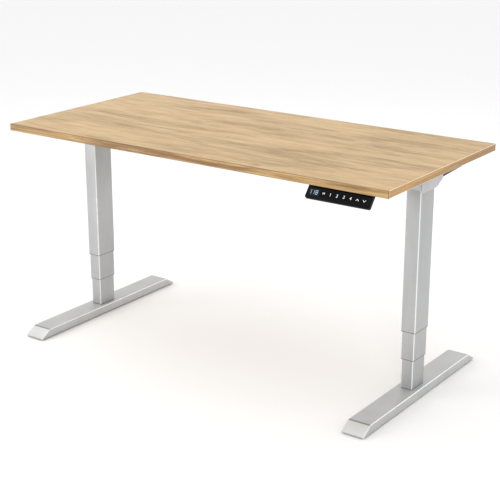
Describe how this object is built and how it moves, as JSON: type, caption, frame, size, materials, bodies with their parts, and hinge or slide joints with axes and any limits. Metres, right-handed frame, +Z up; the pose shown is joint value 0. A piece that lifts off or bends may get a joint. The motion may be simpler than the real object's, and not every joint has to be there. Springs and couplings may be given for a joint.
{
  "type": "height adjustable standing desk",
  "caption": "Electric sit-stand desk: a rectangular oak-decor top on two silver three-stage lifting columns with bevelled flat feet and a sloping key handset.",
  "frame": {"origin": "on the floor under the middle of the desk", "axes": "+X to the user's right along the tabletop, -Y towards the user, +Z up"},
  "size_m": [1.6, 0.8, 0.83],
  "materials": {
    "silver_powder_coat": "satin",
    "black_powder_coat": "satin",
    "leveler_rubber": "matte",
    "glide_plastic": "satin",
    "ground_steel": "satin",
    "gear_bronze": "satin",
    "cast_aluminium": "matte",
    "motor_paint": "satin",
    "zinc_steel": "satin",
    "oak_decor": "satin",
    "oak_edge_band": "satin",
    "box_plastic": "matte",
    "circuit_board": "satin",
    "handset_plastic": "satin",
    "handset_panel": "gloss",
    "display_block": "gloss",
    "key_plastic": "gloss"
  },
  "bodies": {
    "base": {"left_foot": "silver_powder_coat", "right_foot": "silver_powder_coat", "foot_plates": "zinc_steel", "column_bolts": "zinc_steel", "left_inner_tube": "silver_powder_coat", "right_inner_tube": "silver_powder_coat", "inner_glides": "glide_plastic", "lower_nuts": "glide_plastic"},
    "left_front_leveler": {"left_front_leveler": "leveler_rubber"},
    "left_rear_leveler": {"left_rear_leveler": "leveler_rubber"},
    "right_front_leveler": {"right_front_leveler": "leveler_rubber"},
    "right_rear_leveler": {"right_rear_leveler": "leveler_rubber"},
    "left_middle": {"left_mid_tube": "silver_powder_coat", "left_mid_glides": "glide_plastic", "left_upper_nut": "glide_plastic"},
    "right_middle": {"right_mid_tube": "silver_powder_coat", "right_mid_glides": "glide_plastic", "right_upper_nut": "glide_plastic"},
    "top": {"left_outer_tube": "silver_powder_coat", "right_outer_tube": "silver_powder_coat", "outer_glides": "glide_plastic", "left_gearbox": "cast_aluminium", "right_gearbox": "cast_aluminium", "left_motor": "motor_paint", "right_motor": "motor_paint", "left_head_bracket": "silver_powder_coat", "right_head_bracket": "silver_powder_coat", "left_side_arms": "black_powder_coat", "right_side_arms": "black_powder_coat", "crossbeam_center": "silver_powder_coat", "left_crossbeam": "silver_powder_coat", "right_crossbeam": "silver_powder_coat", "tabletop_board": "oak_decor", "edge_band_long": "oak_edge_band", "edge_band_short": "oak_edge_band", "control_box_base": "box_plastic", "control_box_cover": "box_plastic", "control_board": "circuit_board", "handset_housing": "handset_plastic", "handset_panel": "handset_panel", "handset_display": "display_block", "tabletop_screws": "zinc_steel", "crossbeam_screws": "zinc_steel"},
    "left_lower_spindle": {"left_lower_screw": "ground_steel", "left_key_bush": "glide_plastic"},
    "left_upper_spindle": {"left_upper_screw": "ground_steel", "left_worm_wheel": "gear_bronze"},
    "left_worm": {"left_worm_shaft": "ground_steel"},
    "right_lower_spindle": {"right_lower_screw": "ground_steel", "right_key_bush": "glide_plastic"},
    "right_upper_spindle": {"right_upper_screw": "ground_steel", "right_worm_wheel": "gear_bronze"},
    "right_worm": {"right_worm_shaft": "ground_steel"},
    "key_memory": {"key_memory": "key_plastic"},
    "key_1": {"key_1": "key_plastic"},
    "key_2": {"key_2": "key_plastic"},
    "key_3": {"key_3": "key_plastic"},
    "key_4": {"key_4": "key_plastic"},
    "key_up": {"key_up": "key_plastic"},
    "key_down": {"key_down": "key_plastic"}
  },
  "joints": [
    {"name": "left_front_leveler_screw", "type": "slide", "parent": "base", "child": "left_front_leveler", "axis": [0, 0, -1], "range_m": [0, 0.012]},
    {"name": "left_rear_leveler_screw", "type": "slide", "parent": "base", "child": "left_rear_leveler", "axis": [0, 0, -1], "range_m": [0, 0.012]},
    {"name": "right_front_leveler_screw", "type": "slide", "parent": "base", "child": "right_front_leveler", "axis": [0, 0, -1], "range_m": [0, 0.012]},
    {"name": "right_rear_leveler_screw", "type": "slide", "parent": "base", "child": "right_rear_leveler", "axis": [0, 0, -1], "range_m": [0, 0.012]},
    {"name": "left_lift", "type": "slide", "parent": "base", "child": "left_middle", "axis": [0, 0, 1], "range_m": [-0.0975, 0.2275]},
    {"name": "right_lift", "type": "slide", "parent": "base", "child": "right_middle", "axis": [0, 0, 1], "range_m": [-0.0975, 0.2275]},
    {"name": "top_lift", "type": "slide", "parent": "left_middle", "child": "top", "axis": [0, 0, 1], "range_m": [-0.0975, 0.2275]},
    {"name": "left_upper_spindle_turn", "type": "hinge", "parent": "top", "child": "left_upper_spindle", "pos_m": [-0.712, 0, 0.6], "axis": [0, 0, 1], "range_deg": [-3515, 8195]},
    {"name": "left_lower_spindle_turn", "type": "hinge", "parent": "left_middle", "child": "left_lower_spindle", "pos_m": [-0.712, 0, 0.4], "axis": [0, 0, 1], "range_deg": [-3515, 8195]},
    {"name": "left_worm_turn", "type": "hinge", "parent": "top", "child": "left_worm", "pos_m": [-0.712, 0.0224, 0.773], "axis": [1, 0, 0], "range_deg": [-70400, 164000]},
    {"name": "right_upper_spindle_turn", "type": "hinge", "parent": "top", "child": "right_upper_spindle", "pos_m": [0.712, 0, 0.6], "axis": [0, 0, 1], "range_deg": [-3515, 8195]},
    {"name": "right_lower_spindle_turn", "type": "hinge", "parent": "right_middle", "child": "right_lower_spindle", "pos_m": [0.712, 0, 0.4], "axis": [0, 0, 1], "range_deg": [-3515, 8195]},
    {"name": "right_worm_turn", "type": "hinge", "parent": "top", "child": "right_worm", "pos_m": [0.712, -0.0224, 0.773], "axis": [-1, 0, 0], "range_deg": [-70400, 164000]},
    {"name": "key_memory_press", "type": "slide", "parent": "top", "child": "key_memory", "axis": [0, 0.7826, -0.6225], "range_m": [0, 0.0006], "stiffness_N_per_m": 900, "springref_m": -0.0006},
    {"name": "key_1_press", "type": "slide", "parent": "top", "child": "key_1", "axis": [0, 0.7826, -0.6225], "range_m": [0, 0.0006], "stiffness_N_per_m": 900, "springref_m": -0.0006},
    {"name": "key_2_press", "type": "slide", "parent": "top", "child": "key_2", "axis": [0, 0.7826, -0.6225], "range_m": [0, 0.0006], "stiffness_N_per_m": 900, "springref_m": -0.0006},
    {"name": "key_3_press", "type": "slide", "parent": "top", "child": "key_3", "axis": [0, 0.7826, -0.6225], "range_m": [0, 0.0006], "stiffness_N_per_m": 900, "springref_m": -0.0006},
    {"name": "key_4_press", "type": "slide", "parent": "top", "child": "key_4", "axis": [0, 0.7826, -0.6225], "range_m": [0, 0.0006], "stiffness_N_per_m": 900, "springref_m": -0.0006},
    {"name": "key_up_press", "type": "slide", "parent": "top", "child": "key_up", "axis": [0, 0.7826, -0.6225], "range_m": [0, 0.0006], "stiffness_N_per_m": 900, "springref_m": -0.0006},
    {"name": "key_down_press", "type": "slide", "parent": "top", "child": "key_down", "axis": [0, 0.7826, -0.6225], "range_m": [0, 0.0006], "stiffness_N_per_m": 900, "springref_m": -0.0006}
  ],
  "couplings": [
    {"joint": "right_lift", "follows": "left_lift", "ratio": 1},
    {"joint": "top_lift", "follows": "left_lift", "ratio": 1},
    {"joint": "left_upper_spindle_turn", "follows": "left_lift", "rad_per_m": 628.32},
    {"joint": "left_lower_spindle_turn", "follows": "left_lift", "rad_per_m": 628.32},
    {"joint": "left_worm_turn", "follows": "left_lift", "rad_per_m": 12566},
    {"joint": "right_upper_spindle_turn", "follows": "left_lift", "rad_per_m": 628.32},
    {"joint": "right_lower_spindle_turn", "follows": "left_lift", "rad_per_m": 628.32},
    {"joint": "right_worm_turn", "follows": "left_lift", "rad_per_m": 12566}
  ]
}
